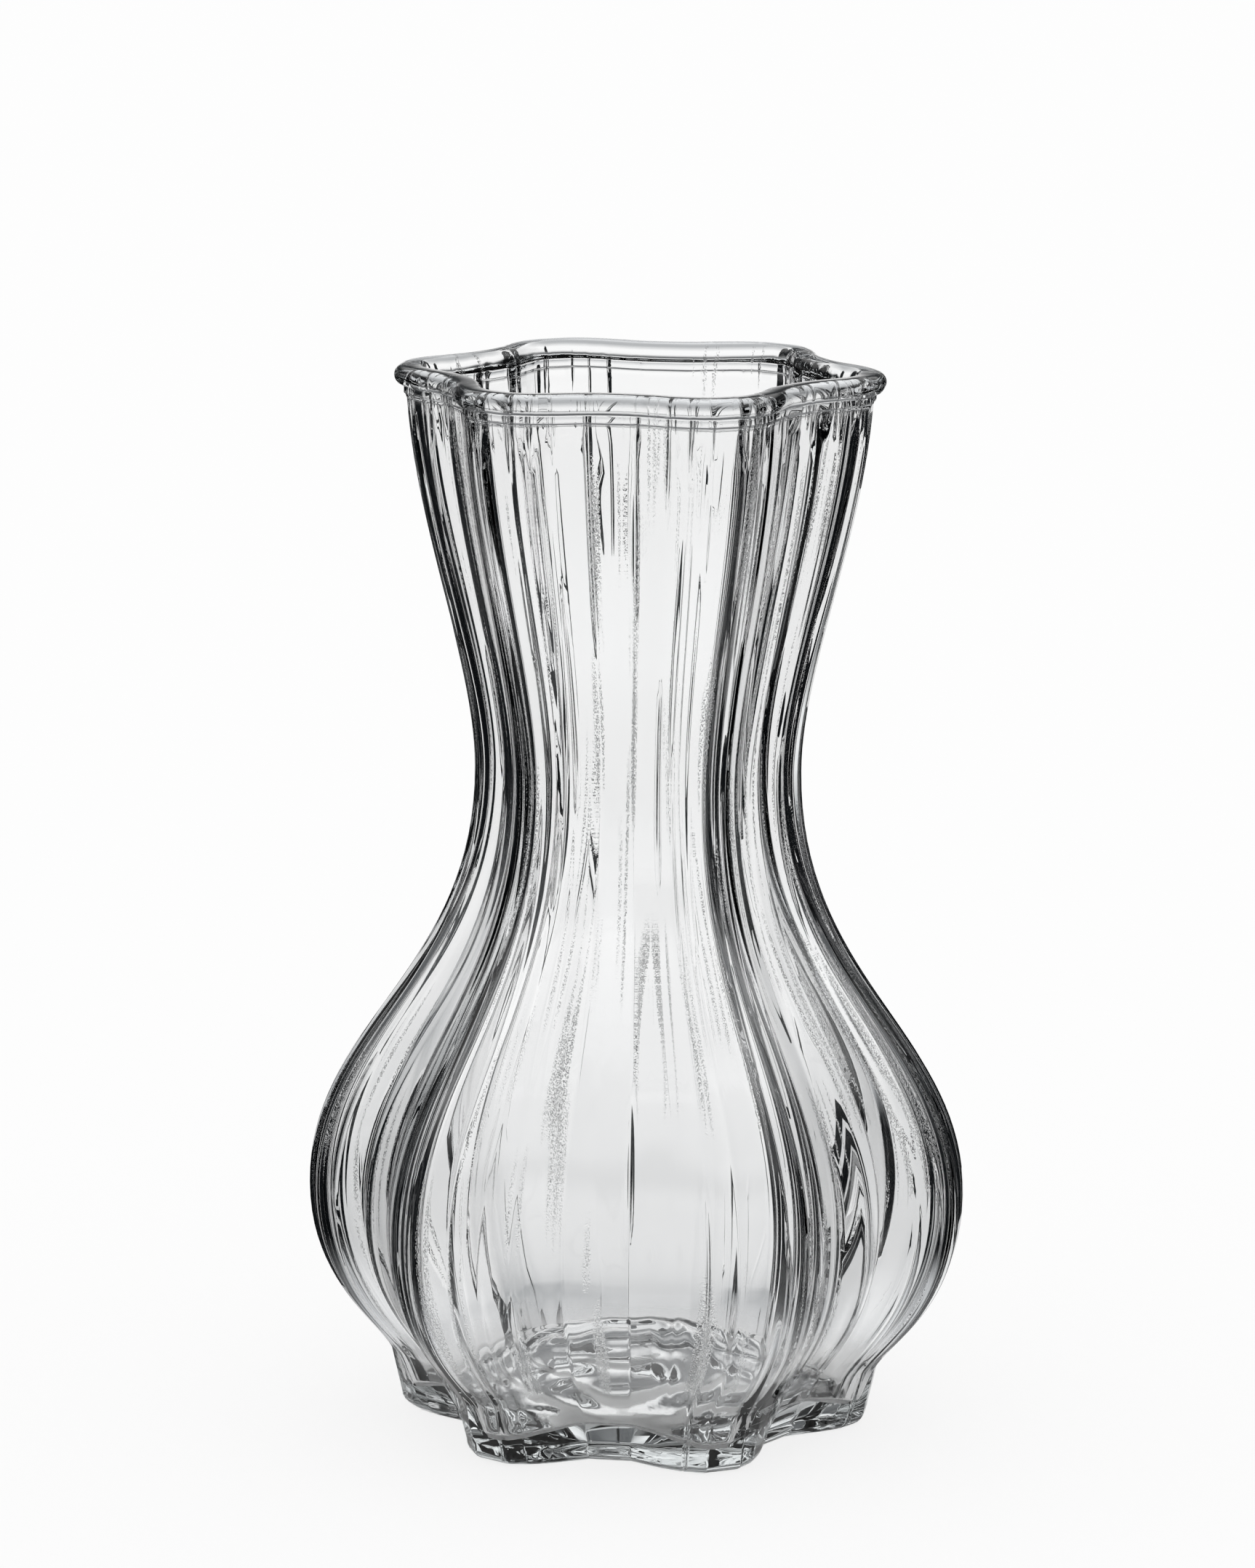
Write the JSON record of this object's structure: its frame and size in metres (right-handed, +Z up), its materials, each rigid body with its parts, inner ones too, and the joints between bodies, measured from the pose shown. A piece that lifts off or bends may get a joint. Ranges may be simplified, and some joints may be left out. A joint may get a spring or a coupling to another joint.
{
  "type": "lobed glass vase",
  "caption": "Clear pressed-glass flower vase with a round lobed belly, narrow waist, flaring neck, narrow upright panels, a beaded lip and a heavy foot.",
  "frame": {"origin": "middle of the foot's resting ring, on the table", "axes": "+Z up along the vase's axis to the mouth, +X over the tip of one lobe"},
  "size_m": [0.1298, 0.1182, 0.21],
  "materials": {
    "clear_glass": "fire-polished clear soda-lime glass, pressed in a mould, faintly rippled"
  },
  "bodies": {
    "root": {"foot": "clear_glass", "bowl": "clear_glass", "neck": "clear_glass", "collar": "clear_glass", "rim_bead": "clear_glass"}
  },
  "joints": []
}
